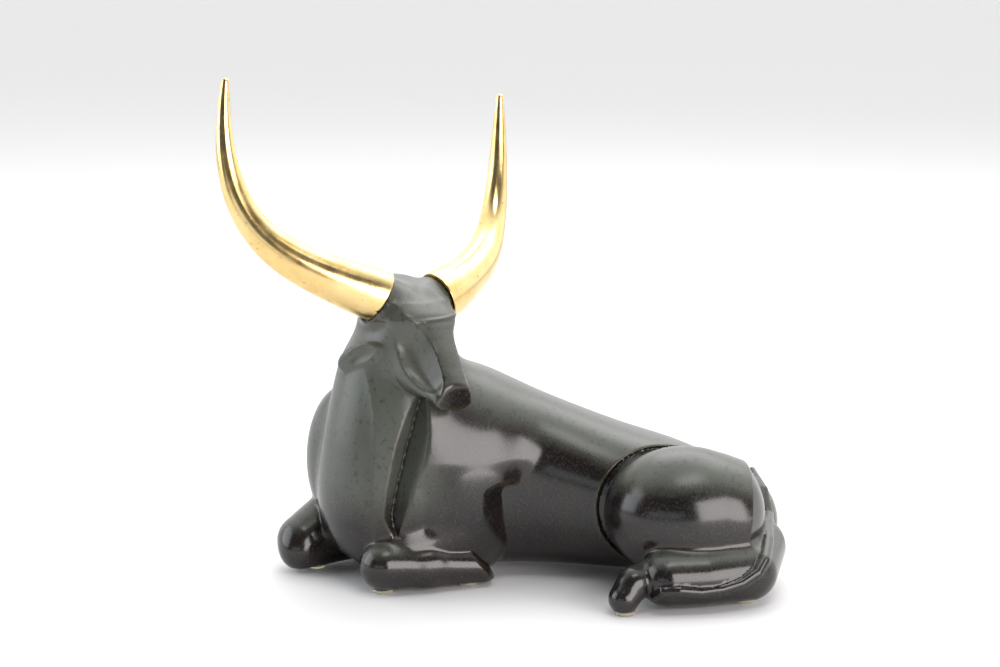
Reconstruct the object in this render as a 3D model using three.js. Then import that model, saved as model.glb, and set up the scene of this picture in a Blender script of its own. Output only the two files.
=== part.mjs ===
// Reclining longhorn bull, a hollow-cast dark bronze with two polished brass
// horns, standing on small clear bumper pads.  Millimetres, +Z up, the bull
// faces -Y and its left side is +X.
//
// The casting is one closed skin.  It is described as a field (negative inside)
// made of rounded masses that melt into one another, is cut where the sculptor
// cut it, and is then skinned on a grid and thinned to a light mesh.
// Inside the field u runs from chest to rump (+Y), v toward the bull's left
// (+X) and z up from the table.
import * as THREE from "three";
import { mergeVertices } from "three/addons/utils/BufferGeometryUtils.js";

// ---------- named sizes ----------
const FOOT = { u: 2.07, v: 20.77 }; // middle of the whole object's plan box
const UNDERSIDE = 2.3; // flat underside of the casting above the table
const CELL = 2.3; // grid the skin is drawn on
const SKIN_TRIANGLES = 7800;

// spine of the trunk: u, v, half width, top, bottom
const TRUNK = [
  [-52, 33, 24, 98, 5],
  [-34, 24, 31, 103.5, 4],
  [-10, 15, 34, 97.5, 2.5],
  [22, 12, 35, 82.5, 2],
  [55, 18, 36, 70.5, 2],
  [85, 31, 35, 63, 3],
  [108, 42, 29, 55, 3],
];
// neck and chest column: z, centre u, centre v, radius
const NECK = [
  [8, -54, 30, 16],
  [16, -54, 31, 25.5],
  [26, -53.5, 31.5, 31],
  [45, -52.8, 32, 33.2],
  [65, -51.5, 31.5, 32.3],
  [82, -50, 31, 30.3],
  [97, -48.5, 30, 28.3],
  [105, -47.7, 30, 26.6],
  [112, -47, 29.5, 24.4],
  [120, -46.2, 29, 21.4],
  [127, -45.5, 29, 17.5],
  [132, -45.3, 29, 12],
  [135, -45.3, 29, 4],
];
const HEAD = {
  at: [-44, 32.5, 132], // poll
  yaw: 40, // turned from facing the bull's left toward its tail
  roll: -5.8,
  pitch: 49, // slope of the face below level
};
const HORN = {
  root: [-43.2, 31, 135.1],
  // side, forward and up of the head: the horn's middle line, right and left alike
  line: [
    [22.4, 0, 0],
    [63.1, -15.9, 13.3],
    [84.1, -38.5, 22.2],
    [81.1, -41, 91.3],
  ],
  radius: [
    [0, 11.8],
    [0.1, 10.95],
    [0.2, 10.15],
    [0.3, 9.2],
    [0.4, 7.95],
    [0.5, 6.75],
    [0.6, 5.85],
    [0.7, 4.95],
    [0.8, 4.05],
    [0.9, 2.95],
    [0.96, 2.3],
    [1, 1.7],
  ],
  base: 11.8,
  seam: 0.3, // joint between casting and horn
};
// tail, hanging down the rump and laid forward round the haunch: u, v, z, radius
const TAIL = [
  [120, 20.8, 47.8, 1.5],
  [124, 33, 41.2, 2.4],
  [125.5, 41, 31.3, 2.8],
  [122.4, 68.5, 27.1, 3],
  [119.2, 83.5, 22, 3],
  [115.7, 87.5, 17.2, 2.9],
  [108.8, 90.2, 13.3, 2.8],
  [99.5, 93.2, 11.2, 2.7],
  [89.5, 95.5, 10.6, 2.6],
  [80.4, 97.2, 11.8, 2.6],
  [73.2, 97.5, 11.6, 2.5],
  [69, 94, 8, 1.6],
];
const PAD = { top: 4.9, sole: 3.1, high: 2.0 };
const PADS = {
  pad_left_knee: [-54, 62],
  pad_left_fore_hoof: [-15, 49.5],
  pad_left_hind_hoof: [56, 94.5],
  pad_left_rump: [112, 75.5],
  pad_right_knee: [-88, 21],
  pad_right_rump: [104, 20],
};

// ---------- small vector and field tools ----------
const { abs, sqrt, min, max, hypot, cos, sin, PI } = Math;
const add = (a, b, k = 1) => a.map((x, i) => x + k * b[i]);
const dot = (a, b) => a[0] * b[0] + a[1] * b[1] + a[2] * b[2];
const cross = (a, b) => [
  a[1] * b[2] - a[2] * b[1],
  a[2] * b[0] - a[0] * b[2],
  a[0] * b[1] - a[1] * b[0],
];
const unit = (a) => a.map((x) => x / hypot(...a));
const clamp = (x, a = 0, b = 1) => min(max(x, a), b);
const smooth = (a, b, x) => {
  const t = clamp((x - a) / (b - a));
  return t * t * (3 - 2 * t);
};
function smin(a, b, k) {
  k = max(k, 1e-6);
  const h = max(k - abs(a - b), 0) / k;
  return min(a, b) - h * h * k * 0.25;
}
const smax = (a, b, k) => -smin(-a, -b, k);
function ball(x, y, z, c, r, R) {
  let p = [x - c[0], y - c[1], z - c[2]];
  if (R) p = [dot(R[0], p), dot(R[1], p), dot(R[2], p)];
  const k0 = hypot(p[0] / r[0], p[1] / r[1], p[2] / r[2]);
  const k1 = hypot(p[0] / r[0] ** 2, p[1] / r[1] ** 2, p[2] / r[2] ** 2);
  return k1 < 1e-9 ? -min(...r) : (k0 * (k0 - 1)) / k1;
}
function limb(x, y, z, a, b, ra, rb) {
  const d = [b[0] - a[0], b[1] - a[1], b[2] - a[2]];
  const p = [x - a[0], y - a[1], z - a[2]];
  const h = clamp(dot(p, d) / dot(d, d));
  return (
    hypot(p[0] - d[0] * h, p[1] - d[1] * h, p[2] - d[2] * h) -
    (ra + (rb - ra) * h)
  );
}
function chain(x, y, z, pts, rad, k = 0) {
  let d = Infinity;
  for (let i = 0; i + 1 < pts.length; i++) {
    const q = limb(x, y, z, pts[i], pts[i + 1], rad[i], rad[i + 1]);
    d = d === Infinity ? q : smin(d, q, k);
  }
  return d;
}
// smooth curve through rows of numbers
function through(rows, n) {
  const P = [
    rows[0].map((v, i) => 2 * v - rows[1][i]),
    ...rows,
    rows.at(-1).map((v, i) => 2 * v - rows.at(-2)[i]),
  ];
  const out = [];
  for (let i = 0; i + 3 < P.length; i++)
    for (let j = 0; j < n; j++) {
      const t = j / n;
      out.push(
        P[i].map((_, q) => {
          const [a, b, c, d] = [P[i][q], P[i + 1][q], P[i + 2][q], P[i + 3][q]];
          return (
            0.5 *
            (2 * b +
              (c - a) * t +
              (2 * a - 5 * b + 4 * c - d) * t * t +
              (3 * b - a - 3 * c + d) * t ** 3)
          );
        }),
      );
    }
  out.push(P.at(-2));
  return out;
}
function table(rows, x, q) {
  if (x <= rows[0][0]) return rows[0][q];
  for (let i = 1; i < rows.length; i++)
    if (x <= rows[i][0]) {
      const t = (x - rows[i - 1][0]) / (rows[i][0] - rows[i - 1][0]);
      return rows[i - 1][q] + t * (rows[i][q] - rows[i - 1][q]);
    }
  return rows.at(-1)[q];
}

// ---------- trunk: rounded sections on a spine that bends in plan ----------
const spine = through(TRUNK, 12);
function trunk(x, y, z) {
  let best = Infinity,
    par = 0,
    lat = 0,
    along = 0;
  for (let i = 0; i + 1 < spine.length; i++) {
    const a = spine[i],
      bx = spine[i + 1][0] - a[0],
      by = spine[i + 1][1] - a[1],
      L = hypot(bx, by);
    const h = clamp(((x - a[0]) * bx + (y - a[1]) * by) / (L * L));
    const dx = x - a[0] - bx * h,
      dy = y - a[1] - by * h,
      d2 = dx * dx + dy * dy;
    if (d2 < best) {
      best = d2;
      par = i + h;
      lat = (bx * dy - by * dx) / L;
      along = (dx * bx + dy * by) / L;
    }
  }
  const i = min(Math.floor(par), spine.length - 2),
    t = par - i;
  const [w, top, low] = [2, 3, 4].map(
    (q) => spine[i][q] * (1 - t) + spine[i + 1][q] * t,
  );
  const n = 2.35,
    zc = (top + low) / 2,
    h = (top - low) / 2;
  const A = abs(lat) / w,
    B = abs(z - zc) / h;
  const q = max((A ** n + B ** n) ** (1 / n), 1e-6);
  const g = hypot(
    (A ** (n - 1) / w) * q ** (1 - n),
    (B ** (n - 1) / h) * q ** (1 - n),
  );
  const d = (q - 1) / max(g, 1 / 60);
  return par <= 0 || par >= spine.length - 1 ? max(d, abs(along)) : d;
}

// ---------- neck ----------
const neckLine = through(NECK, 6);
neckLine.forEach((r, i) => {
  const a = neckLine[max(i - 1, 0)],
    b = neckLine[min(i + 1, neckLine.length - 1)];
  const s = (b[3] - a[3]) / (b[0] - a[0]);
  r[4] = 1 / sqrt(1 + s * s);
});
function neck(x, y, z) {
  const [cu, cv, r, g] = [1, 2, 3, 4].map((q) => table(neckLine, z, q));
  return max((hypot(x - cu, y - cv) - r) * g, z - 135, 8 - z);
}

// ---------- head ----------
const rad = (d) => (d * PI) / 180;
const ahead = [sin(rad(HEAD.yaw)), cos(rad(HEAD.yaw)), 0];
const level = [cos(rad(HEAD.yaw)), -sin(rad(HEAD.yaw)), 0];
const side = add(
  level.map((v) => v * cos(rad(HEAD.roll))),
  [0, 0, 1],
  sin(rad(HEAD.roll)),
);
const crown = add(
  level.map((v) => -v * sin(rad(HEAD.roll))),
  [0, 0, 1],
  cos(rad(HEAD.roll)),
);
const down = add(
  ahead.map((v) => v * cos(rad(HEAD.pitch))),
  crown,
  -sin(rad(HEAD.pitch)),
);
const out = add(
  ahead.map((v) => v * sin(rad(HEAD.pitch))),
  crown,
  cos(rad(HEAD.pitch)),
);
const cheek = (() => {
  const o = [0.81, 0, 0.58];
  const a = unit(add([0, 0.978, 0], o, -0.208));
  const c = cross(o, a);
  return [a, c, cross(a, c)];
})();
const earAxes = (() => {
  const a = unit([12, 3, -17]);
  const w0 = [0, 1, 0.2];
  const w = unit(add(w0, a, -dot(w0, a)));
  return [a, w, cross(a, w)];
})();
function headPlace(x, y, z) {
  const p = [x - HEAD.at[0], y - HEAD.at[1], z - HEAD.at[2]];
  return [abs(dot(side, p)), dot(down, p), dot(out, p)];
}
function head(x, y, z) {
  const [a, m, n] = headPlace(x, y, z);
  let d = ball(a, m, n, [0, 6, -6], [22, 20, 15]); // cranium
  d = smin(
    d,
    chain(
      a,
      m,
      n,
      [
        [0, 16, -2.5],
        [0, 35, -1],
        [0, 46, 0.5],
      ],
      [16, 15, 11.2],
    ),
    8,
  ); // face
  d = smin(d, ball(a, m, n, [13.2, 22, 4.5], [7, 8, 6]), 5); // brow
  d = smin(d, ball(a, m, n, [0, 27, -7], [13, 17, 10]), 5); // jaw
  d = smin(d, ball(a, m, n, [0, 49, 1.5], [10.8, 9.5, 9]), 4); // muzzle
  d = smax(d, -ball(a, m, n, [11.9, 36, 7.5], [21, 11, 6.5], cheek), 0.8); // hollow cheek
  return smax(d, 0.82 * m + 0.57 * n - 50, 1.5); // flat of the muzzle
}
function ear(x, y, z) {
  const [a, m, n] = headPlace(x, y, z);
  return ball(a, m, n, [25, 22, -15], [12.5, 5.2, 3], earAxes);
}

// ---------- horns ----------
const hornAxis = unit(add(HORN.line[1], HORN.line[0], -1));
const ofHead = (s, f, u) => add(add(side.map((v) => v * s), ahead, f), crown, u);
// a boss on the skull, sawn square to the horn, for each horn to sit on
function bosses(x, y, z, d) {
  for (const s of [-1, 1]) {
    const c = add(HORN.root, side, s * HORN.line[0][0]);
    const a = ofHead(s * hornAxis[0], hornAxis[1], hornAxis[2]);
    const p = [x - c[0], y - c[1], z - c[2]];
    const t = dot(p, a);
    const r = sqrt(max(dot(p, p) - t * t, 0));
    d = smin(d, max(r - HORN.base - 0.02 * abs(t), t, -t - 16), 3.5);
    d = max(d, -max(-t, r - HORN.base - 0.4));
  }
  return d;
}

// ---------- the whole casting ----------
function casting(x, y, z) {
  let d = smin(trunk(x, y, z), neck(x, y, z), 12);
  d = smin(d, ball(x, y, z, [-73, 14, 52], [19.5, 22, 36]), 3); // right shoulder
  // left shoulder and upper arm, with a standing rear edge
  let arm = chain(
    x,
    y,
    z,
    [
      [-6, 32, 66],
      [-22, 39, 44],
      [-30, 43, 24],
    ],
    [24, 22, 19],
    10,
  );
  arm = smax(arm, x + 3.2, 2.5);
  d = smin(d, arm, 1.5 + 12 * smooth(44, 62, z));
  // left foreleg: forearm, then cannon folded back to the hoof
  d = smin(d, limb(x, y, z, [-24, 48, 26], [-49, 57, 17], 13, 11), 4);
  let fore = chain(
    x,
    y,
    z,
    [
      [-53.5, 62, 13],
      [-34, 56.5, 11.5],
      [-9, 48.5, 9],
    ],
    [11.5, 10, 8.5],
    4,
  );
  fore = smax(fore, 0.8 * (x + 3.6) + 0.6 * (z - 5), 1);
  d = smin(d, fore, 1.5);
  // groove between the throat's keel and the shoulder
  d = smax(
    d,
    -chain(
      x,
      y,
      z,
      [
        [-33, 56, 88.9],
        [-37.4, 62, 74.4],
        [-44.2, 66.5, 55.8],
        [-49.7, 70, 38.8],
      ],
      [7, 8, 7.5, 5.5],
      4,
    ),
    1.2,
  );
  // right foreleg
  d = smin(
    d,
    chain(
      x,
      y,
      z,
      [
        [-94, 23, 14],
        [-77, 11, 23],
      ],
      [12.5, 15.5],
    ),
    2.5,
  );
  d = smin(
    d,
    limb(x, y, z, [-95, 26.5, 11], [-62, 2, 10.5], 10.5, 9.5),
    1.5,
  );
  // haunches, the left one standing proud of the flank
  d = smin(
    d,
    ball(x, y, z, [85, 58, 37.5], [37, 30, 30.5]),
    1.5 + 14 * smooth(84, 112, x),
  );
  d = smin(d, ball(x, y, z, [103.5, 26, 24.5], [28.5, 27, 27]), 8);
  // left hind leg along the ground, and its hoof
  d = smin(
    d,
    chain(
      x,
      y,
      z,
      [
        [119, 51, 19],
        [113, 75, 14.3],
        [92, 83, 14],
        [76, 85.5, 14],
      ],
      [14, 13.5, 13, 13],
    ),
    4,
  );
  d = smin(
    d,
    chain(
      x,
      y,
      z,
      [
        [84, 77, 15],
        [68, 84.5, 14],
        [60, 90, 13],
        [55.5, 94.5, 7.3],
      ],
      [9.5, 8.3, 7.4, 7],
      2,
    ),
    1.5,
  );
  d = smin(
    d,
    chain(x, y, z, TAIL.map((p) => p.slice(0, 3)), TAIL.map((p) => p[3])),
    0.8,
  );
  d = smin(d, head(x, y, z), 3.5);
  d = bosses(x, y, z, d);
  d = smin(d, ear(x, y, z), 0.8);
  return max(d, UNDERSIDE - z);
}

// ---------- skin a field on a grid: one vertex in each crossed cell ----------
function skin(field, lo, hi, h) {
  const n = lo.map((v, i) => Math.ceil((hi[i] - v) / h) + 1);
  const G = new Float64Array(n[0] * n[1] * n[2]);
  const at = (i, j, k) => (i * n[1] + j) * n[2] + k;
  for (let i = 0; i < n[0]; i++)
    for (let j = 0; j < n[1]; j++)
      for (let k = 0; k < n[2]; k++)
        G[at(i, j, k)] = field(lo[0] + i * h, lo[1] + j * h, lo[2] + k * h);
  // close pinched corners, so that the skin is one clean closed surface
  const axes = [
    [1, 0, 0],
    [0, 1, 0],
    [0, 0, 1],
  ];
  for (let changed = true; changed; ) {
    changed = false;
    for (let i = 1; i + 2 < n[0]; i++)
      for (let j = 1; j + 2 < n[1]; j++)
        for (let k = 1; k + 2 < n[2]; k++)
          for (let q = 0; q < 3; q++) {
            const p = axes[(q + 1) % 3],
              r = axes[(q + 2) % 3];
            const c = [
              at(i, j, k),
              at(i + p[0], j + p[1], k + p[2]),
              at(i + p[0] + r[0], j + p[1] + r[1], k + p[2] + r[2]),
              at(i + r[0], j + r[1], k + r[2]),
            ];
            const s = c.map((w) => G[w] < 0);
            if (s[0] !== s[2] || s[1] !== s[3] || s[0] === s[1]) continue;
            const o = s[0] ? [c[1], c[3]] : [c[0], c[2]];
            G[G[o[0]] < G[o[1]] ? o[0] : o[1]] = -0.02;
            changed = true;
          }
  }
  const id = new Int32Array(G.length).fill(-1);
  const V = [];
  for (let i = 0; i + 1 < n[0]; i++)
    for (let j = 0; j + 1 < n[1]; j++)
      for (let k = 0; k + 1 < n[2]; k++) {
        let c = 0;
        const s = [0, 0, 0];
        for (let e = 0; e < 8; e++) {
          const o = [e & 1, (e >> 1) & 1, (e >> 2) & 1];
          const a = G[at(i + o[0], j + o[1], k + o[2])];
          for (let q = 0; q < 3; q++) {
            if (o[q]) continue;
            const w = o.slice();
            w[q] = 1;
            const b = G[at(i + w[0], j + w[1], k + w[2])];
            if (a < 0 === b < 0) continue;
            const t = a / (a - b);
            c++;
            for (let r = 0; r < 3; r++) s[r] += o[r] + (r === q ? t : 0);
          }
        }
        if (!c) continue;
        id[at(i, j, k)] = V.length;
        V.push([
          lo[0] + (i + s[0] / c) * h,
          lo[1] + (j + s[1] / c) * h,
          lo[2] + (k + s[2] / c) * h,
        ]);
      }
  const F = [];
  for (let i = 1; i + 1 < n[0]; i++)
    for (let j = 1; j + 1 < n[1]; j++)
      for (let k = 1; k + 1 < n[2]; k++)
        for (let q = 0; q < 3; q++) {
          const o = [0, 0, 0];
          o[q] = 1;
          const a = G[at(i, j, k)] < 0,
            b = G[at(i + o[0], j + o[1], k + o[2])] < 0;
          if (a === b) continue;
          const p = [0, 0, 0],
            r = [0, 0, 0];
          p[(q + 1) % 3] = 1;
          r[(q + 2) % 3] = 1;
          const w = (s, t) =>
            id[
              at(
                i - s * p[0] - t * r[0],
                j - s * p[1] - t * r[1],
                k - s * p[2] - t * r[2],
              )
            ];
          const Q = [w(1, 1), w(0, 1), w(0, 0), w(1, 0)];
          if (!a) Q.reverse();
          const g = (m, l) =>
            hypot(...V[Q[m]].map((v, e) => v - V[Q[l]][e]));
          if (g(0, 2) <= g(1, 3))
            F.push([Q[0], Q[1], Q[2]], [Q[0], Q[2], Q[3]]);
          else F.push([Q[0], Q[1], Q[3]], [Q[1], Q[2], Q[3]]);
        }
  return { V, F };
}
// settle each vertex on the field's zero
function settle(field, V, rounds = 3) {
  const e = 0.05;
  for (const p of V)
    for (let r = 0; r < rounds; r++) {
      const d = field(...p);
      const g = [0, 1, 2].map((q) => {
        const a = p.slice(),
          b = p.slice();
        a[q] += e;
        b[q] -= e;
        return (field(...a) - field(...b)) / (2 * e);
      });
      const g2 = max(dot(g, g), 0.05);
      let s = g.map((v) => (-d / g2) * v);
      const L = hypot(...s);
      if (L > 1) s = s.map((v) => v / L);
      p[0] += s[0];
      p[1] += s[1];
      p[2] += s[2];
    }
}

// ---------- thin a closed mesh by folding its flattest edges first ----------
function thin(V, F, target) {
  const Q = V.map(() => new Float64Array(10));
  const ring = V.map(() => new Set());
  const live = F.map(() => true);
  const normal = (f) => {
    const [a, b, c] = f.map((i) => V[i]);
    return cross(add(b, a, -1), add(c, a, -1));
  };
  F.forEach((f, fi) => {
    const n0 = normal(f),
      L = hypot(...n0) || 1e-12,
      n = n0.map((v) => v / L),
      d = -dot(n, V[f[0]]),
      p = [...n, d];
    for (const v of f) {
      ring[v].add(fi);
      let k = 0;
      for (let i = 0; i < 4; i++)
        for (let j = i; j < 4; j++) Q[v][k++] += p[i] * p[j] * L;
    }
  });
  const cost = (q, [x, y, z]) =>
    q[0] * x * x +
    2 * q[1] * x * y +
    2 * q[2] * x * z +
    2 * q[3] * x +
    q[4] * y * y +
    2 * q[5] * y * z +
    2 * q[6] * y +
    q[7] * z * z +
    2 * q[8] * z +
    q[9];
  const best = (a, b) => {
    const q = Q[a].map((v, i) => v + Q[b][i]);
    const [A, B, C, D, E, G, H, I, J] = q;
    const det =
      A * (E * I - G * G) - B * (B * I - G * C) + C * (B * G - E * C);
    const cand = [V[a], V[b], V[a].map((v, i) => (v + V[b][i]) / 2)];
    if (abs(det) > 1e-6 * (A + E + I) ** 3) {
      const r = [-D, -H, -J];
      const X =
        (r[0] * (E * I - G * G) -
          B * (r[1] * I - G * r[2]) +
          C * (r[1] * G - E * r[2])) /
        det;
      const Y =
        (A * (r[1] * I - G * r[2]) -
          r[0] * (B * I - G * C) +
          C * (B * r[2] - r[1] * C)) /
        det;
      const Z =
        (A * (E * r[2] - r[1] * G) -
          B * (B * r[2] - r[1] * C) +
          r[0] * (B * G - E * C)) /
        det;
      const p = [X, Y, Z];
      if (hypot(...p.map((v, i) => v - cand[2][i])) < 6) cand.push(p);
    }
    let m = null,
      mc = Infinity;
    for (const p of cand) {
      const c = cost(q, p);
      if (c < mc) [mc, m] = [c, p];
    }
    const len = hypot(...V[a].map((v, i) => v - V[b][i]));
    return [max(mc, 0) + 1e-4 * len * len, m.slice()];
  };
  // binary heap of edges
  const heap = [];
  const stamp = new Int32Array(V.length);
  const up = (i) => {
    while (i) {
      const p = (i - 1) >> 1;
      if (heap[p].c <= heap[i].c) break;
      [heap[p], heap[i]] = [heap[i], heap[p]];
      i = p;
    }
  };
  const pop = () => {
    const r = heap[0],
      l = heap.pop();
    if (heap.length) {
      heap[0] = l;
      let i = 0;
      for (;;) {
        let c = 2 * i + 1;
        if (c >= heap.length) break;
        if (c + 1 < heap.length && heap[c + 1].c < heap[c].c) c++;
        if (heap[i].c <= heap[c].c) break;
        [heap[i], heap[c]] = [heap[c], heap[i]];
        i = c;
      }
    }
    return r;
  };
  const push = (a, b) => {
    const [c, p] = best(a, b);
    heap.push({ a, b, c, p, s: stamp[a] + stamp[b] });
    up(heap.length - 1);
  };
  F.forEach((f) => {
    for (let i = 0; i < 3; i++)
      if (f[i] < f[(i + 1) % 3]) push(f[i], f[(i + 1) % 3]);
  });
  const around = (v) => {
    const s = new Set();
    for (const f of ring[v]) for (const w of F[f]) if (w !== v) s.add(w);
    return s;
  };
  const dead = new Uint8Array(V.length);
  let count = F.length;
  while (count > target && heap.length) {
    const { a, b, p, s } = pop();
    if (dead[a] || dead[b] || s !== stamp[a] + stamp[b]) continue;
    const na = around(a),
      nb = around(b);
    let shared = 0;
    for (const w of na) if (nb.has(w)) shared++;
    if (shared !== 2) continue;
    const ok = [a, b].every((v) =>
      [...ring[v]].every((fi) => {
        const f = F[fi];
        if (f.includes(a) && f.includes(b)) return true;
        const n0 = normal(f);
        const g = f.map((w) => (w === v ? p : V[w]));
        const n1 = cross(add(g[1], g[0], -1), add(g[2], g[0], -1));
        const l0 = hypot(...n0),
          l1 = hypot(...n1);
        const e = max(
          hypot(...add(g[1], g[0], -1)),
          hypot(...add(g[2], g[1], -1)),
          hypot(...add(g[0], g[2], -1)),
        );
        return dot(n0, n1) > 0.35 * l0 * l1 && l1 > 0.04 * e * e;
      }),
    );
    if (!ok) continue;
    V[a] = p;
    Q[a] = Q[a].map((v, i) => v + Q[b][i]);
    dead[b] = 1;
    for (const fi of [...ring[b]]) {
      const f = F[fi];
      if (f.includes(a)) {
        live[fi] = false;
        count--;
        for (const w of f) ring[w].delete(fi);
      } else {
        F[fi] = f.map((w) => (w === b ? a : w));
        ring[a].add(fi);
      }
    }
    for (const w of around(a)) {
      stamp[w]++;
    }
    stamp[a]++;
    const seen = new Set();
    for (const w of [a, ...around(a)])
      for (const x of around(w)) {
        const k = w < x ? w * 1e6 + x : x * 1e6 + w;
        if (!seen.has(k)) {
          seen.add(k);
          push(min(w, x), max(w, x));
        }
      }
  }
  return { V, F: F.filter((_, i) => live[i]) };
}

// ---------- three.js geometry in the object's frame ----------
const place = ([u, v, z]) => [v - FOOT.v, u - FOOT.u, z];
function geometry(V, F, turned) {
  const g = new THREE.BufferGeometry();
  g.setAttribute(
    "position",
    new THREE.Float32BufferAttribute(V.map(place).flat(), 3),
  );
  g.setIndex(F.map((f) => (turned ? [f[0], f[2], f[1]] : f)).flat());
  g.computeVertexNormals();
  return g;
}

const bronze = new THREE.MeshStandardMaterial({
  color: 0x2c2b29,
  roughness: 0.32,
  metalness: 0.85,
});
const brass = new THREE.MeshStandardMaterial({
  color: 0xc9a24e,
  roughness: 0.2,
  metalness: 1,
});
const clear = new THREE.MeshStandardMaterial({
  color: 0xd8d2b4,
  roughness: 0.35,
  metalness: 0,
});

const bull = new THREE.Group();
function addMesh(name, geo, material) {
  const mesh = new THREE.Mesh(geo, material);
  mesh.name = name;
  bull.add(mesh);
  return mesh;
}

// the casting
{
  const s = skin(casting, [-116, -32, -1.3], [144, 112, 152], CELL);
  settle(casting, s.V);
  const t = thin(s.V, s.F, SKIN_TRIANGLES);
  const used = new Map();
  const V = [];
  const F = t.F.map((f) =>
    f.map((i) => {
      if (!used.has(i)) {
        used.set(i, V.length);
        V.push(t.V[i]);
      }
      return used.get(i);
    }),
  );
  addMesh("bull_body", geometry(V, F, true), bronze);
}

// a horn: rings strung along its middle line, closed flat at the root and round at the tip
function horn(s) {
  const rings = 22,
    spokes = 14;
  const line = (t) =>
    HORN.line[0].map((_, q) => {
      const [a, b, c, d] = HORN.line.map((p) => p[q]);
      return (
        (1 - t) ** 3 * a +
        3 * t * (1 - t) ** 2 * b +
        3 * t * t * (1 - t) * c +
        t ** 3 * d
      );
    });
  const P = [];
  for (let i = 0; i <= 200; i++) {
    const [a, f, u] = line(i / 200);
    P.push(add(HORN.root, ofHead(s * a, f, u)));
  }
  const L = [0];
  for (let i = 1; i < P.length; i++)
    L.push(L[i - 1] + hypot(...add(P[i], P[i - 1], -1)));
  const total = L.at(-1);
  const at = (f) => {
    const x = f * total;
    let i = 1;
    while (i < P.length - 1 && L[i] < x) i++;
    const t = (x - L[i - 1]) / (L[i] - L[i - 1]);
    return [
      add(P[i - 1].map((v) => v * (1 - t)), P[i], t),
      unit(add(P[i], P[i - 1], -1)),
    ];
  };
  const V = [],
    F = [];
  const start = HORN.seam / total;
  for (let i = 0; i < rings; i++) {
    const f = start + ((1 - start) * i) / (rings - 1);
    const [p, t] = i ? at(f) : [add(at(0)[0], ofHead(s * hornAxis[0], hornAxis[1], hornAxis[2]), HORN.seam), ofHead(s * hornAxis[0], hornAxis[1], hornAxis[2])];
    const a = unit(cross(t, [0, 1, 0.2])),
      b = cross(t, a),
      r = table(HORN.radius, f, 1);
    for (let j = 0; j < spokes; j++) {
      const w = (2 * PI * j) / spokes;
      V.push(add(add(p, a, r * cos(w)), b, r * sin(w)));
    }
  }
  const [tip, td] = at(1);
  V.push(add(tip, td, 1.5), add(at(0)[0], ofHead(s * hornAxis[0], hornAxis[1], hornAxis[2]), HORN.seam));
  const T = rings * spokes;
  for (let i = 0; i + 1 < rings; i++)
    for (let j = 0; j < spokes; j++) {
      const a = i * spokes + j,
        b = i * spokes + ((j + 1) % spokes);
      F.push([a, b, b + spokes], [a, b + spokes, a + spokes]);
    }
  for (let j = 0; j < spokes; j++) {
    const k = (j + 1) % spokes,
      e = (rings - 1) * spokes;
    F.push([T + 1, k, j], [T, e + j, e + k]);
  }
  return geometry(V, F, true);
}
addMesh("horn_right", horn(-1), brass);
addMesh("horn_left", horn(1), brass);

// bumper pads: low domes, wide at the casting and flat on the table
const profile = [new THREE.Vector2(0, 0), new THREE.Vector2(PAD.sole, 0)];
for (let i = 1; i <= 2; i++) {
  const w = (i / 3) * (PI / 2);
  profile.push(
    new THREE.Vector2(
      PAD.sole + (PAD.top - PAD.sole) * sin(w),
      (PAD.high - 0.4) * (1 - cos(w)),
    ),
  );
}
profile.push(
  new THREE.Vector2(PAD.top, PAD.high - 0.4),
  new THREE.Vector2(PAD.top, PAD.high),
  new THREE.Vector2(0, PAD.high),
);
for (const [name, [u, v]] of Object.entries(PADS)) {
  const lathe = new THREE.LatheGeometry(profile, 12);
  lathe.deleteAttribute("uv");
  lathe.deleteAttribute("normal");
  const g = mergeVertices(lathe, 1e-4);
  g.rotateX(PI / 2);
  g.computeVertexNormals();
  const mesh = addMesh(name, g, clear);
  const [x, y] = place([u, v, 0]);
  mesh.position.set(x, y, 0);
}

export default bull;
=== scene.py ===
# Looks of the reclining longhorn bull: a waxed, dark patinated bronze casting with polished brass horns, on small
# clear bumper pads. Millimetres in the shape code, metres once placed. u runs from chest to rump (+Y), v toward the
# bull's left (+X), z up from the table.
import math
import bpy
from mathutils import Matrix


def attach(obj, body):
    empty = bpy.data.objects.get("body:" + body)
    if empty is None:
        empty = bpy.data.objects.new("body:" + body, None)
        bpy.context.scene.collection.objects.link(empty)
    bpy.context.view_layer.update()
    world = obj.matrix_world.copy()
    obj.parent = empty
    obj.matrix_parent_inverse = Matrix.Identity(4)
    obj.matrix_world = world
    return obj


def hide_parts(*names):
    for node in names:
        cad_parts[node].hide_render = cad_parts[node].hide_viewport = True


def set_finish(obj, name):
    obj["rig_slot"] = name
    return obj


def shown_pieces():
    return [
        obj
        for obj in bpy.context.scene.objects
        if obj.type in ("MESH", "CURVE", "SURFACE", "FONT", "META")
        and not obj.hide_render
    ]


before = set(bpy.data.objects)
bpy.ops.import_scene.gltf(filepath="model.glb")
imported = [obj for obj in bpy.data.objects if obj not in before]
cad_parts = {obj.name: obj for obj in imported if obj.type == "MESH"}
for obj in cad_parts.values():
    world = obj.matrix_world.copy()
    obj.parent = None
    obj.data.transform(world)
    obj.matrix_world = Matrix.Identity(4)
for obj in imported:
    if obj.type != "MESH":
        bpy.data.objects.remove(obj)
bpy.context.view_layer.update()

import bpy
import numpy as np
from mathutils import Matrix, Vector

FOOT_U, FOOT_V = 2.07, 20.77
UNDERSIDE = 2.3
CELL = 1.17

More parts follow.
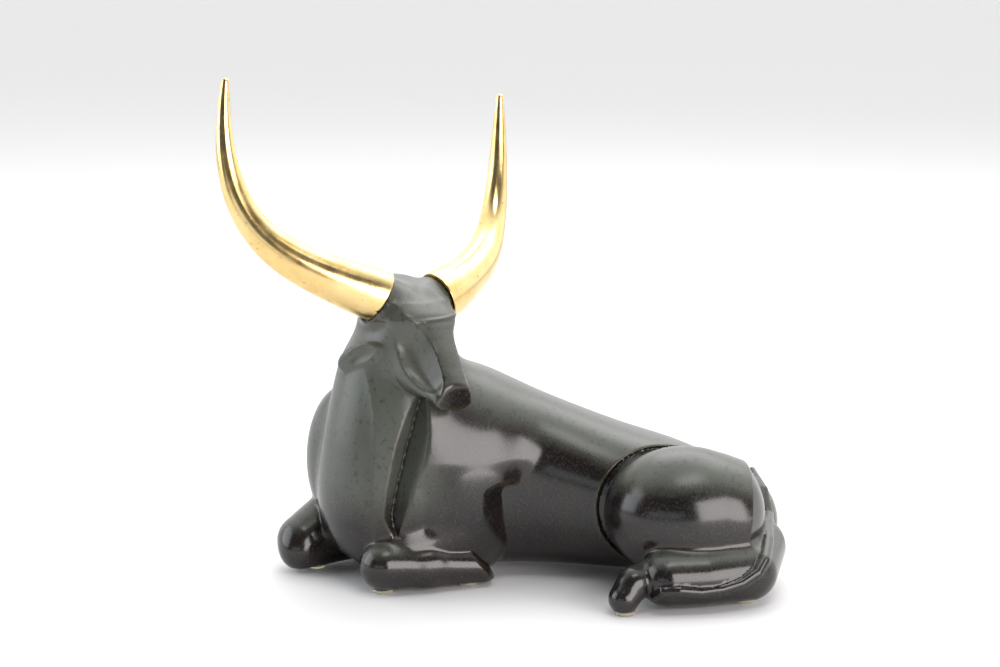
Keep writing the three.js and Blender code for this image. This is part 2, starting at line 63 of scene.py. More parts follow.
# ---------- named sizes, as in the construction ----------
TRUNK = [  # u, v, half width, top, bottom
    (-52, 33, 24, 98, 5),
    (-34, 24, 31, 103.5, 4),
    (-10, 15, 34, 97.5, 2.5),
    (22, 12, 35, 82.5, 2),
    (55, 18, 36, 70.5, 2),
    (85, 31, 35, 63, 3),
    (108, 42, 29, 55, 3),
]
NECK = [  # z, centre u, centre v, radius
    (8, -54, 30, 16),
    (16, -54, 31, 25.5),
    (26, -53.5, 31.5, 31),
    (45, -52.8, 32, 33.2),
    (65, -51.5, 31.5, 32.3),
    (82, -50, 31, 30.3),
    (97, -48.5, 30, 28.3),
    (105, -47.7, 30, 26.6),
    (112, -47, 29.5, 23.6),
    (117, -46.6, 29, 20.2),
    (122, -46.3, 28.6, 15.5),
    (126, -46.2, 28.4, 9.5),
    (128, -46.2, 28.4, 3),
]
HEAD_AT, HEAD_YAW, HEAD_ROLL, HEAD_PITCH = (-44, 32.5, 132), 40, -5.8, 49
HORN_ROOT = (-42.6, 31, 135.5)
HORN_LINE = [(22.4, 0, 0), (63.1, -15.9, 13.3), (84.1, -38.5, 22.2), (81.1, -41, 91.3)]
HORN_RADIUS = [(0, 12.2), (0.1, 11), (0.2, 10), (0.3, 9.1), (0.4, 7.95), (0.5, 6.75), (0.6, 5.85), (0.7, 4.95),
               (0.8, 4.05), (0.9, 2.95), (0.96, 2.3), (1, 1.7)]
HORN_BASE, SEAM = 12.2, 0.3
SEAM_AT, SEAM_TILT, SEAM_SLANT = {-1: -5.3, 1: -8}, 0.15, {-1: 0, 1: 0.42}  # where the horn's foot is cut, and how far that cut leans
SHOULDER = ((-28, 28, 46), (44, 34, 51))
ARM_EDGE = (-6, 48.5, 4.5)  # rear edge of the arm, height of the arch over it, and the arch's corner
# groove between throat and shoulder: z, u of the throat's keel, u of the shoulder's ridge
GROOVE = [
    (26.5, -48.6, -48.6),
    (31, -51, -47.4),
    (37, -52.6, -46.2),
    (44, -51.8, -44.1),
    (51, -50.8, -41.3),
    (58.7, -49.4, -38),
    (68, -47.9, -34),
    (77, -45.6, -30.6),
    (86, -43.2, -28.3),
    (95, -39.5, -27.5),
    (101, -36, -30),
]
HEAD_SHIFT = -2
# head, section by section down the face (m): height of the middle line; edge of the nose ridge, a and n; depth of the
# cheek hollow; its outer rim, a and n; jaw corner, a and n; underside
HEAD = [
    (-22, -4, 9, -6, -1.5, 16, -12, 12, -20, -24),
    (-12, 2.6, 12, 1, -2, 16, -7, 9, -17, -20),
    (-4, 7.6, 13.3, 5.8, -2, 17, -3.5, 11, -17, -21),
    (6, 12.2, 14, 10, -2, 17.8, -1, 13, -17, -22),
    (14, 15.1, 14.4, 13, -1.6, 17.8, 3, 14.5, -16.5, -23),
    (19, 16.4, 14, 14.3, -0.8, 17.5, 4.4, 15.6, -16, -23),
    (23, 16.7, 11.4, 14.5, 0.9, 16.4, 3.2, 15.6, -15.5, -22),
    (27, 16.4, 8.9, 14.6, 1.9, 15.8, 1.6, 15, -15, -21),
    (32, 16, 7.3, 14.6, 2.3, 15.4, 0.2, 14, -13.5, -19),
    (38, 15.6, 6.5, 14.4, 2.5, 14.8, -0.4, 12.4, -11.4, -16),
    (45, 14.8, 6.4, 13.6, 2.3, 13, 1.1, 11.5, -5.5, -10),
    (51, 14.2, 6.8, 12.4, 1.4, 10.6, 3.6, 10, -1, -4),
    (55.5, 13.4, 8.2, 10.6, 0.4, 9.7, 7.6, 9.2, 2, -0.5),
    (60, 11.5, 8.6, 9, 0, 9.4, 7.4, 8.6, 4, 2),
    (66, 9, 8, 7.6, 0, 8.6, 7, 7.6, 5.6, 4.4),
]
HEAD_MID = [(-22, -10), (0, -8), (20, -5), (38, 1), (50, 4.5), (60, 6.5), (66, 6.6)]
MUZZLE = (0.842, 0.54, 53.6)
TAIL = [  # u, v, z, radius
    (120, 20.8, 47.8, 1.5),
    (124, 33, 41.2, 2.4),
    (125.5, 41, 31.3, 2.8),
    (122.4, 68.5, 27.1, 3),
    (119.2, 83.5, 22, 3),
    (115.7, 87.5, 17.2, 2.9),
    (108.8, 90.2, 13.3, 2.8),
    (99.5, 93.2, 11.2, 2.7),
    (89.5, 95.5, 10.6, 2.6),
    (80.4, 97.2, 11.8, 2.6),
    (73.2, 97.5, 11.6, 2.5),
    (69, 94, 8, 1.6),
]
PAD_TOP, PAD_SOLE, PAD_HIGH = 4.9, 3.1, 2.0
PADS = {
    "pad_left_knee": (-54, 62),
    "pad_left_fore_hoof": (-15, 49.5),
    "pad_left_hind_hoof": (56, 94.5),
    "pad_left_rump": (112, 75.5),
    "pad_right_knee": (-88, 21),
    "pad_right_rump": (104, 20),
}


# ---------- field tools ----------
def place(P):
    P = np.asarray(P, float)
    return np.stack([P[:, 1] - FOOT_V, P[:, 0] - FOOT_U, P[:, 2]], 1) / 1000


def unit(a):
    a = np.asarray(a, float)
    return a / np.linalg.norm(a)


def smin(a, b, k):
    k = np.maximum(k, 1e-6)
    h = np.maximum(k - np.abs(a - b), 0) / k
    return np.minimum(a, b) - h * h * k * 0.25


def smax(a, b, k):
    return -smin(-a, -b, k)


def step(a, b, x):
    t = np.clip((x - a) / (b - a), 0, 1)
    return t * t * (3 - 2 * t)


def ball(x, y, z, c, r, R=None):
    p = [x - c[0], y - c[1], z - c[2]]
    if R is not None:
        p = [R[i][0] * p[0] + R[i][1] * p[1] + R[i][2] * p[2] for i in range(3)]
    k0 = np.sqrt((p[0] / r[0]) ** 2 + (p[1] / r[1]) ** 2 + (p[2] / r[2]) ** 2)
    k1 = np.sqrt((p[0] / r[0] ** 2) ** 2 + (p[1] / r[1] ** 2) ** 2 + (p[2] / r[2] ** 2) ** 2)
    return np.where(k1 < 1e-9, -min(r), k0 * (k0 - 1) / np.maximum(k1, 1e-9))


def limb(x, y, z, a, b, ra, rb):
    d = [b[i] - a[i] for i in range(3)]
    p = [x - a[0], y - a[1], z - a[2]]
    h = np.clip((p[0] * d[0] + p[1] * d[1] + p[2] * d[2]) / (d[0] ** 2 + d[1] ** 2 + d[2] ** 2), 0, 1)
    return np.sqrt((p[0] - d[0] * h) ** 2 + (p[1] - d[1] * h) ** 2 + (p[2] - d[2] * h) ** 2) - (ra + (rb - ra) * h)


def chain(x, y, z, pts, rad, k=0):
    d = None
    for i in range(len(pts) - 1):
        q = limb(x, y, z, pts[i], pts[i + 1], rad[i], rad[i + 1])
        d = q if d is None else smin(d, q, k)
    return d


def through(rows, n):
    """Smooth curve through rows of numbers."""
    P = np.asarray(rows, float)
    P = np.vstack([2 * P[0] - P[1], P, 2 * P[-1] - P[-2]])
    out = []
    for i in range(len(P) - 3):
        a, b, c, d = P[i : i + 4]
        for j in range(n):
            t = j / n
            out.append(0.5 * (2 * b + (c - a) * t + (2 * a - 5 * b + 4 * c - d) * t * t + (3 * b - a - 3 * c + d) * t**3))
    return np.array(out + [P[-2]])


# ---------- trunk and neck ----------
SPINE = through(TRUNK, 60)
SPINE_LEAN = 1 / np.sqrt(1 + np.gradient(SPINE[:, 1], SPINE[:, 0]) ** 2)


def trunk(x, y, z):
    c, w, top, low = (np.interp(x, SPINE[:, 0], SPINE[:, q]) for q in (1, 2, 3, 4))
    lean = np.interp(x, SPINE[:, 0], SPINE_LEAN)
    n = 2.35
    h = (top - low) / 2
    A, B = np.abs(y - c) * lean / w, np.abs(z - (top + low) / 2) / h
    q = np.maximum((A**n + B**n) ** (1 / n), 1e-6)
    g = np.sqrt((A ** (n - 1) / w * q ** (1 - n)) ** 2 + (B ** (n - 1) / h * q ** (1 - n)) ** 2)
    d = (q - 1) / np.maximum(g, 1 / 60)
    return np.maximum(d, np.maximum(SPINE[0, 0] - x, x - SPINE[-1, 0]))


NECK_LINE = through(NECK, 6)
NECK_SLOPE = 1 / np.sqrt(1 + np.gradient(NECK_LINE[:, 3], NECK_LINE[:, 0]) ** 2)


def neck(x, y, z):
    cu, cv, r = (np.interp(z, NECK_LINE[:, 0], NECK_LINE[:, q]) for q in (1, 2, 3))
    g = np.interp(z, NECK_LINE[:, 0], NECK_SLOPE)
    return np.maximum((np.hypot(x - cu, y - cv) - r) * g, np.maximum(z - 128, 8 - z))


# ---------- head ----------
_y, _r, _p = (math.radians(a) for a in (HEAD_YAW, HEAD_ROLL, HEAD_PITCH))
AHEAD = np.array([math.sin(_y), math.cos(_y), 0])
LEVEL = np.array([math.cos(_y), -math.sin(_y), 0])
UP = np.array([0, 0, 1.0])
SIDE = LEVEL * math.cos(_r) + UP * math.sin(_r)
CROWN = -LEVEL * math.sin(_r) + UP * math.cos(_r)
DOWN = AHEAD * math.cos(_p) - CROWN * math.sin(_p)
OUT = AHEAD * math.sin(_p) + CROWN * math.cos(_p)


def head_place(x, y, z):
    p = [x - HEAD_AT[0], y - HEAD_AT[1], z - HEAD_AT[2]]
    s, m, n = (a[0] * p[0] + a[1] * p[1] + a[2] * p[2] for a in (SIDE, DOWN, OUT))
    return np.abs(s - HEAD_SHIFT), m, n


def turned(axis, wide):
    a = unit(axis)
    w = np.asarray(wide, float)
    w = unit(w - (w @ a) * a)
    return np.array([a, w, np.cross(a, w)])


EAR = turned((5.5, -4.8, -20.3), (2.2, -6.6, 6.1))


def bend(p, c, q, n):
    """Points along a bend from p to q that leans on c, the last one left out."""
    t = np.arange(n)[:, None] / n
    p, c, q = (np.asarray(w, float) for w in (p, c, q))
    return (1 - t) ** 2 * p + 2 * t * (1 - t) * c + t * t * q


def head_table():
    rows = through(HEAD, 8)
    rows = rows[np.concatenate([[True], np.diff(rows[:, 0]) > 1e-6])]
    angles = np.linspace(0, math.pi, 361)
    R = []
    for m, top, ea, en, deep, oa, on, ja, jn, low in rows:
        mid = np.interp(m, [h[0] for h in HEAD_MID], [h[1] for h in HEAD_MID])
        E, O, J = np.array([ea, en]), np.array([oa, on]), np.array([ja, jn])
        c = O - E
        inward = np.array([c[1], -c[0]]) / np.linalg.norm(c)  # toward the head's middle
        bed = E + 0.34 * c + inward * deep * 0.85
        bed2 = E + 0.77 * c + inward * deep * 1.6
        mids = 0.5 * (bed + bed2)
        side = O + (J - O) * 0.5 + np.array([1.6, -0.3])
        curve = np.concatenate([
            bend((0, top), (ea * 0.72, top), E, 14),
            bend(E, bed, mids, 12),
            bend(mids, bed2, O, 12),
            bend(O, side + (side - (O + J) / 2) * 0.3, J, 12),
            bend(J, (ja * 0.75, low), (0, low), 12),
            [(0, low)],
        ])
        w = np.arctan2(curve[:, 0], curve[:, 1] - mid)
        w[-1] = math.pi
        R.append(np.interp(angles, np.maximum.accumulate(w), np.hypot(curve[:, 0], curve[:, 1] - mid)))
    R = np.array(R)
    M = np.linspace(HEAD[0][0], HEAD[-1][0], 221)
    R = np.stack([np.interp(M, rows[:, 0], R[:, q]) for q in range(R.shape[1])], 1)
    for _ in range(2):  # take the hard corners off
        R[:, 1:-1] = (R[:, :-2] + 2 * R[:, 1:-1] + R[:, 2:]) / 4
        R[1:-1] = (R[:-2] + 2 * R[1:-1] + R[2:]) / 4
    soft = R.copy()
    for _ in range(40):  # and run the forehead gently into the face
        soft[1:-1] = (soft[:-2] + 2 * soft[1:-1] + soft[2:]) / 4
    w = step(18, 29, M)[:, None]
    return R * w + soft * (1 - w)


HEAD_TABLE = head_table()


def head(x, y, z):
    a, m, n = head_place(x, y, z)
    lo, hi = HEAD[0][0], HEAD[-1][0]
    n_m, n_w = HEAD_TABLE.shape
    mid = np.interp(m, [h[0] for h in HEAD_MID], [h[1] for h in HEAD_MID])
    r = np.hypot(a, n - mid)
    w = np.arctan2(a, n - mid) / math.pi * (n_w - 1)
    i = np.clip((m - lo) / (hi - lo) * (n_m - 1), 0, n_m - 1.001)
    i0, w0 = i.astype(int), np.clip(w, 0, n_w - 1.001).astype(int)
    fi, fw = i - i0, w - w0
    A, B, C, D = HEAD_TABLE[i0, w0], HEAD_TABLE[i0, w0 + 1], HEAD_TABLE[i0 + 1, w0], HEAD_TABLE[i0 + 1, w0 + 1]
    R = (A * (1 - fw) + B * fw) * (1 - fi) + (C * (1 - fw) + D * fw) * fi
    across = ((B - A) * (1 - fi) + (D - C) * fi) * (n_w - 1) / math.pi / np.maximum(r, 4)
    down = ((C - A) * (1 - fw) + (D - B) * fw) * (n_m - 1) / (hi - lo)
    d = (r - R) / np.sqrt(1 + across**2 + down**2)
    d = smax(d, lo + 4 - m, 6)
    return smax(d, MUZZLE[0] * m + MUZZLE[1] * n - MUZZLE[2], 1.2)


def ear(x, y, z):
    a, m, n = head_place(x, y, z)
    d = ball(a, m, n, (21.4, 20.1, -17.2), (13.6, 6.8, 2.4), EAR)
    return smax(d, -ball(a, m, n, (26.4, 21.8, -12.6), (12.5, 5.4, 5.4), EAR), 0.6)


HORN_AXIS = unit(np.subtract(HORN_LINE[1], HORN_LINE[0]))


def of_head(s, f, u):
    return s * SIDE + f * AHEAD + u * CROWN


def seam_lean(s, a):
    """Slope of the cut at a horn's foot, over the two directions square to the horn."""
    up = unit(CROWN - (CROWN @ a) * a)
    front = unit(AHEAD - (AHEAD @ a) * a - ((AHEAD - (AHEAD @ a) * a) @ up) * up)
    return SEAM_TILT * up + SEAM_SLANT[s] * front


def bosses(x, y, z, d):
    for s in (-1, 1):
        c = np.array(HORN_ROOT) + s * HORN_LINE[0][0] * SIDE
        a = of_head(s * HORN_AXIS[0], HORN_AXIS[1], HORN_AXIS[2])
        w = seam_lean(s, a)
        p = [x - c[0], y - c[1], z - c[2]]
        t = p[0] * a[0] + p[1] * a[1] + p[2] * a[2]
        r = np.sqrt(np.maximum(p[0] ** 2 + p[1] ** 2 + p[2] ** 2 - t * t, 0))
        past = t - SEAM_AT[s] + p[0] * w[0] + p[1] * w[1] + p[2] * w[2]
        inner = c + (SEAM_AT[s] - 9) * a
        stub = np.maximum(limb(x, y, z, inner, c, HORN_BASE - 4, HORN_BASE + 0.3), past)
        d = smin(d, stub, 7)
        d = np.maximum(d, -np.maximum(-past, r - HORN_BASE - 0.9))
    return d


# ---------- the whole casting ----------
def shoulder(x, y, z):
    d = ball(x, y, z, *SHOULDER)
    # arched step behind the arm, its wall leaning back
    edge, arch, r = ARM_EDGE
    a = x - edge - 0.7 * np.clip(57 - y, -6, 14)
    b = arch - z
    inside = np.minimum(a, b)
    corner = r - np.hypot(np.maximum(r - a, 0), np.maximum(r - b, 0))
    scoop = np.where((a < r) & (b < r), corner, inside) * 0.85
    return smax(d, scoop, 1.6)


GROOVE_LINE = through(GROOVE, 10)


def groove(x, y, z):
    """Negative inside the groove: a steep wall under the throat's keel, a slope up to the shoulder's ridge."""
    lo, hi = (np.interp(z, GROOVE_LINE[:, 0], GROOVE_LINE[:, q]) for q in (1, 2))
    wide = np.maximum(hi - lo, 0.05)
    deep = 0.62 * wide
    left = (x - lo) - 0.42 * (65 - y)
    right = (y - 61.5) - (x - hi) * deep / (0.72 * wide)
    ends = np.minimum(z - 27, 104 - z)
    return -np.minimum(np.minimum(left * 0.92, right * 0.72), ends)


def casting(x, y, z):
    d = smin(trunk(x, y, z), neck(x, y, z), 12)
    d = smin(d, ball(x, y, z, (-73, 14, 52), (19.5, 22, 36)), 3)
    d = smin(d, shoulder(x, y, z), 1.2 + 9 * step(46, 62, z))
    d = smin(d, limb(x, y, z, (-24, 46, 24), (-49, 57, 17), 13, 11), 4)
    fore = chain(x, y, z, [(-53.5, 62, 13), (-34, 56.5, 11.5), (-9, 48.5, 9)], [11.5, 10, 8.5], 4)
    fore = smax(fore, 0.8 * (x + 3.6) + 0.6 * (z - 5), 1)
    d = smin(d, fore, 1.5)
    d = smax(d, -groove(x, y, z), 0.9)
    d = smin(d, chain(x, y, z, [(-94, 23, 14), (-77, 11, 23)], [12.5, 15.5]), 2.5)
    d = smin(d, limb(x, y, z, (-95, 26.5, 11), (-62, 2, 10.5), 10.5, 9.5), 1.5)
    haunch = ball(x, y, z, (85, 58, 37.5), (37, 30, 30.5))
    rim = np.maximum(haunch - 3.2, -(d + 2.2))  # channel in the flank along the haunch's rim
    d = smax(d, -rim, 2) * 1.0
    d = smin(d, haunch, 1.0 + 14.5 * step(84, 112, x))
    d = smin(d, ball(x, y, z, (103.5, 26, 24.5), (28.5, 27, 27)), 8)
    d = smin(d, chain(x, y, z, [(119, 51, 19), (113, 75, 14.3), (92, 83, 14), (76, 85.5, 14)], [14, 13.5, 13, 13]), 4)
    d = smin(
        d, chain(x, y, z, [(84, 77, 15), (68, 84.5, 14), (60, 90, 13), (55.5, 94.5, 7.3)], [9.5, 8.3, 7.4, 7], 2), 1.5
    )
    d = smin(d, chain(x, y, z, [p[:3] for p in TAIL], [p[3] for p in TAIL]), 0.8)
    m = head_place(x, y, z)[1]
    d = smin(d, head(x, y, z), 12 - 10 * step(18, 38, m))
    d = bosses(x, y, z, d)
    d = smin(d, ear(x, y, z), 1.2)
    return np.maximum(d, UNDERSIDE - z)


# ---------- skin of a field ----------
def evaluate(f, P, size=60000):
    out = np.empty(len(P))
    for i in range(0, len(P), size):
        q = P[i : i + size]
        out[i : i + size] = f(q[:, 0], q[:, 1], q[:, 2])
    return out


def slope(f, P, e):
    return np.stack(
        [(evaluate(f, P + d) - evaluate(f, P - d)) / (2 * e) for d in np.eye(3) * e], 1
    )


def stretch(C, axis, n, k):
    """Linear filling-in of a coarse grid along one axis."""
    i = np.arange(n) / k
    a = np.minimum(i.astype(int), C.shape[axis] - 2)
    t = (i - a).reshape([-1 if q == axis else 1 for q in range(3)])
    return np.take(C, a, axis) * (1 - t) + np.take(C, a + 1, axis) * t


def skin(f, lo, hi, h, k=4):
    lo = np.asarray(lo, float)
    m = np.ceil((np.asarray(hi, float) - lo) / (h * k)).astype(int) + 1
    n = (m - 1) * k + 1
    grid = lambda c, s: np.stack(np.meshgrid(*[np.arange(q) * s for q in c], indexing="ij"), -1).reshape(-1, 3)
    C = evaluate(f, lo + grid(m, h * k)).reshape(m)
    near = np.zeros(m - 1, bool)
    for o in np.ndindex(2, 2, 2):
        near |= np.abs(C[tuple(slice(q, q + w) for q, w in zip(o, m - 1))]) < 1.7 * h * k
    on = np.zeros(n, bool)
    for o in np.argwhere(near):
        on[tuple(slice(q * k, q * k + k + 1) for q in o)] = True
    G = stretch(stretch(stretch(C, 0, n[0], k), 1, n[1], k), 2, n[2], k)
    G[on] = evaluate(f, lo + np.argwhere(on) * h)
    # close pinched corners, so that the skin is one clean closed surface
    for _ in range(30):
        changed = 0
        for q in range(3):
            p, r = (q + 1) % 3, (q + 2) % 3
            cut = lambda a, b: tuple(
                slice(a, n[w] - 1 + a) if w == p else slice(b, n[w] - 1 + b) if w == r else slice(None) for w in range(3)
            )
            c = [G[cut(0, 0)], G[cut(1, 0)], G[cut(1, 1)], G[cut(0, 1)]]
            s = [w < 0 for w in c]
            bad = np.argwhere((s[0] == s[2]) & (s[1] == s[3]) & (s[0] != s[1]))
            for b in bad:
                at = []
                for dp, dr in ((0, 0), (1, 0), (1, 1), (0, 1)):
                    w = b.copy()
                    w[p] += dp
                    w[r] += dr
                    at.append(tuple(w))
                inside = [G[w] < 0 for w in at]
                if inside[0] != inside[2] or inside[1] != inside[3] or inside[0] == inside[1]:
                    continue
                o = [at[1], at[3]] if inside[0] else [at[0], at[2]]
                G[o[0] if G[o[0]] < G[o[1]] else o[1]] = -0.02
                changed += 1
        if not changed:
            break
    # crossings of the grid's edges, with the surface's slope at each
    cells = n - 1
    flat = lambda I: (I[:, 0] * cells[1] + I[:, 1]) * cells[2] + I[:, 2]
    quads, cell_of, points = [], [], []
    for q in range(3):
        p, r = (q + 1) % 3, (q + 2) % 3
        A = G[tuple(slice(0, n[w] - 1) if w == q else slice(None) for w in range(3))]
        B = G[tuple(slice(1, n[w]) if w == q else slice(None) for w in range(3))]
        I = np.argwhere((A < 0) != (B < 0))
        a, b = A[tuple(I.T)], B[tuple(I.T)]
        P = lo + I * h
        P[:, q] += h * a / (a - b)
        four = []
        for dp, dr in ((1, 1), (0, 1), (0, 0), (1, 0)):
            J = I.copy()
            J[:, p] -= dp
            J[:, r] -= dr
            four.append(flat(J))
        Q = np.stack(four, 1)
        Q[a >= 0] = Q[a >= 0][:, ::-1]
        quads.append(Q)
        cell_of.append(np.concatenate(four))
        points.append((P, 4))
    P = np.concatenate([p for p, _ in points])
    for _ in range(2):  # settle the crossings on the surface
        g = slope(f, P, 0.1)
        P = P - (evaluate(f, P) / np.maximum((g * g).sum(1), 0.2)).clip(-0.3, 0.3)[:, None] * g
    N = slope(f, P, 0.12)
    N /= np.maximum(np.linalg.norm(N, axis=1, keepdims=True), 1e-9)
    start, PP, NN = 0, [], []
    for p, _ in points:
        e = start + len(p)
        PP.append(np.tile(P[start:e], (4, 1)))
        NN.append(np.tile(N[start:e], (4, 1)))
        start = e
    PP, NN, cell = np.concatenate(PP), np.concatenate(NN), np.concatenate(cell_of)
    ids, back = np.unique(cell, return_inverse=True)
    count = np.bincount(back).astype(float)
    total = lambda v: np.bincount(back, v, len(ids))
    mean = np.stack([total(PP[:, q]) / count for q in range(3)], 1)
    rel = PP - mean[back]
    off = (rel * NN).sum(1)
    M = np.empty((len(ids), 3, 3))
    for i in range(3):
        for j in range(3):
            M[:, i, j] = total(NN[:, i] * NN[:, j]) + (0.06 * count if i == j else 0)
    rhs = np.stack([total(NN[:, q] * off) for q in range(3)], 1)
    V = mean + np.linalg.solve(M, rhs[..., None])[..., 0].clip(-0.75 * h, 0.75 * h)
    Q = np.searchsorted(ids, np.concatenate(quads))
    return V, Q


def triangles(V, Q):
    a, b, c, d = (V[Q[:, i]] for i in range(4))
    m = (((a - c) ** 2).sum(1) <= ((b - d) ** 2).sum(1))[:, None]
    return np.concatenate([np.where(m, Q[:, [0, 1, 2]], Q[:, [0, 1, 3]]), np.where(m, Q[:, [0, 2, 3]], Q[:, [1, 2, 3]])])


def add_mesh(name, V, F, normals=None, fields=None):
    me = bpy.data.meshes.new(name)
    me.from_pydata(V.tolist(), [], F.tolist())
    me.update()
    me.polygons.foreach_set("use_smooth", [True] * len(me.polygons))
    for key, value in (fields or {}).items():
        me.attributes.new(key, "FLOAT", "POINT").data.foreach_set("value", np.asarray(value, np.float32))
    if normals is not None:
        me.normals_split_custom_set_from_vertices(normals.tolist())
    o = bpy.data.objects.new(name, me)
    bpy.context.scene.collection.objects.link(o)
    return o


V, Q = skin(casting, (-116, -32, -1.3), (144, 112, 152), CELL)
F = triangles(V, Q)
N = slope(casting, V, 0.25)
N /= np.maximum(np.linalg.norm(N, axis=1, keepdims=True), 1e-9)
# how much each place stands proud of its surroundings, for wear on crests and dark wax in creases
near = evaluate(casting, V - 1.6 * N) + 1.6
far = evaluate(casting, V + 1.6 * N) - 1.6
crest = np.clip(near * 1.2, 0, 1)
crease = np.clip(-far * 1.2, 0, 1)
# where the patina is green grey: neck and head; whatever faces up gets the same lighter tone as painted light from
# above; limbs, flank and haunch stay brown black
patina_and_top_light = np.maximum(step(26, 56, V[:, 2]) * step(-16, -40, V[:, 0]), step(0.3, 0.75, N[:, 2]) * step(12, 30, V[:, 2]))
print("skin", len(V), len(F))
body = add_mesh(
    "bull_casting",
    place(V),
    F[:, ::-1],
    np.stack([N[:, 1], N[:, 0], N[:, 2]], 1),
    {"crest": crest, "crease": crease, "patina_and_top_light": patina_and_top_light},
)
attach(body, "root")
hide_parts("bull_body")
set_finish(body, "bronze")


# ---------- horns ----------
def horn(s, rings=110, spokes=56):
    t = np.linspace(0, 1, 600)[:, None]
    B = [np.array(p, float) for p in HORN_LINE]
    L = (1 - t) ** 3 * B[0] + 3 * t * (1 - t) ** 2 * B[1] + 3 * t * t * (1 - t) * B[2] + t**3 * B[3]
    P = np.array(HORN_ROOT) + s * L[:, :1] * SIDE + L[:, 1:2] * AHEAD + L[:, 2:] * CROWN
    run = np.concatenate([[0], np.cumsum(np.linalg.norm(np.diff(P, axis=0), axis=1))])
    whole = run[-1]
    rows = through([(a * whole, r) for a, r in HORN_RADIUS], 10)
    first = of_head(s * HORN_AXIS[0], HORN_AXIS[1], HORN_AXIS[2])
    lean = seam_lean(s, first)
    V, start = [], SEAM_AT[s] + SEAM
    ends = [(start, -0.5), (start, -0.22), (start + 0.12, -0.06), (start + 0.4, 0)]
    stations = ends + [(x, 0) for x in start + 1.2 + (whole - start - 1.2) * np.linspace(0, 1, rings - 4) ** 0.93]
    for x, less in stations:
        p = np.array([np.interp(x, run, P[:, q]) for q in range(3)])
        d = unit([np.interp(min(x + 1, whole), run, P[:, q]) - np.interp(max(x - 1, 0), run, P[:, q]) for q in range(3)])
        if x < 1:
            p, d = P[0] + first * x, first
        slant = (1 - min((x - start) / 18, 1)) ** 2
        a = unit(np.cross(d, [0, 1, 0.2]))
        b = np.cross(d, a)
        r = np.interp(x, rows[:, 0], rows[:, 1]) + less
        for j in range(spokes):
            w = 2 * math.pi * j / spokes
            o = r * (math.cos(w) * a + math.sin(w) * b)
            V.append(p + o - slant * (o @ lean) * d)
    d = unit(P[-1] - P[-6])
    r = rows[-1, 1]
    a = unit(np.cross(d, [0, 1, 0.2]))
    b = np.cross(d, a)
    caps = 5
    for i in range(1, caps):
        w = i / caps * math.pi / 2
        for j in range(spokes):
            g = 2 * math.pi * j / spokes
            V.append(P[-1] + d * 1.5 * math.sin(w) + r * math.cos(w) * (math.cos(g) * a + math.sin(g) * b))
    n = len(V) // spokes
    V.append(P[-1] + d * 1.5)
    V.append(P[0] + first * start)
    F = []
    for i in range(n - 1):
        for j in range(spokes):
            k = (j + 1) % spokes
            F.append((i * spokes + j, i * spokes + k, (i + 1) * spokes + k, (i + 1) * spokes + j))
    T = n * spokes
    for j in range(spokes):
        k = (j + 1) % spokes
        F.append((T + 1, k, j))
        F.append((T, (n - 1) * spokes + j, (n - 1) * spokes + k))
    V = np.array(V)
    along = np.concatenate([np.repeat(np.arange(n) / (n - 1), spokes), [1, 0]])
    return place(V), [f[::-1] for f in F], along


for side, s in (("right", -1), ("left", 1)):
    W, K, along = horn(s)
    me = bpy.data.meshes.new("horn_" + side + "_polished")
    me.from_pydata(W.tolist(), [], K)
    me.update()
    me.polygons.foreach_set("use_smooth", [True] * len(me.polygons))
    me.attributes.new("along", "FLOAT", "POINT").data.foreach_set("value", along.astype(np.float32))
    o = bpy.data.objects.new("horn_" + side + "_polished", me)
    bpy.context.scene.collection.objects.link(o)
    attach(o, "root")
    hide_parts("horn_" + side)
    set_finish(o, "horn_brass")

# ---------- bumper pads ----------
def pad_profile():
    rows = [(0, 0), (PAD_SOLE - 0.5, 0), (PAD_SOLE, 0.06)]
    for i in range(1, 8):
        w = i / 8 * math.pi / 2
        rows.append((PAD_SOLE + (PAD_TOP - PAD_SOLE) * math.sin(w), (PAD_HIGH - 0.4) * (1 - math.cos(w))))
    return rows + [(PAD_TOP, PAD_HIGH - 0.4), (PAD_TOP, PAD_HIGH - 0.1), (PAD_TOP - 0.15, PAD_HIGH), (0, PAD_HIGH)]


for name, (u, v) in PADS.items():
    rows, spokes = pad_profile(), 40
    W = [(0, 0, 0)]
    for r, z in rows[1:-1]:
        W += [(r * math.cos(2 * math.pi * j / spokes), r * math.sin(2 * math.pi * j / spokes), z) for j in range(spokes)]
    W.append((0, 0, PAD_HIGH))
    K, n = [], len(rows) - 2
    for i in range(n - 1):
        for j in range(spokes):
            k = (j + 1) % spokes
            K.append((1 + i * spokes + j, 1 + i * spokes + k, 1 + (i + 1) * spokes + k, 1 + (i + 1) * spokes + j))
    for j in range(spokes):
        k = (j + 1) % spokes
        K.append((0, 1 + k, 1 + j))
        K.append((len(W) - 1, 1 + (n - 1) * spokes + j, 1 + (n - 1) * spokes + k))
    W = np.array(W, float)
    W[:, 0] += v - FOOT_V
    W[:, 1] += u - FOOT_U
    me = bpy.data.meshes.new(name + "_clear")
    me.from_pydata((W / 1000).tolist(), [], K)
    me.update()
    me.polygons.foreach_set("use_smooth", [True] * len(me.polygons))
    o = bpy.data.objects.new(name + "_clear", me)
    bpy.context.scene.collection.objects.link(o)
    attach(o, "root")
    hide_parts(name)
    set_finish(o, "pad")


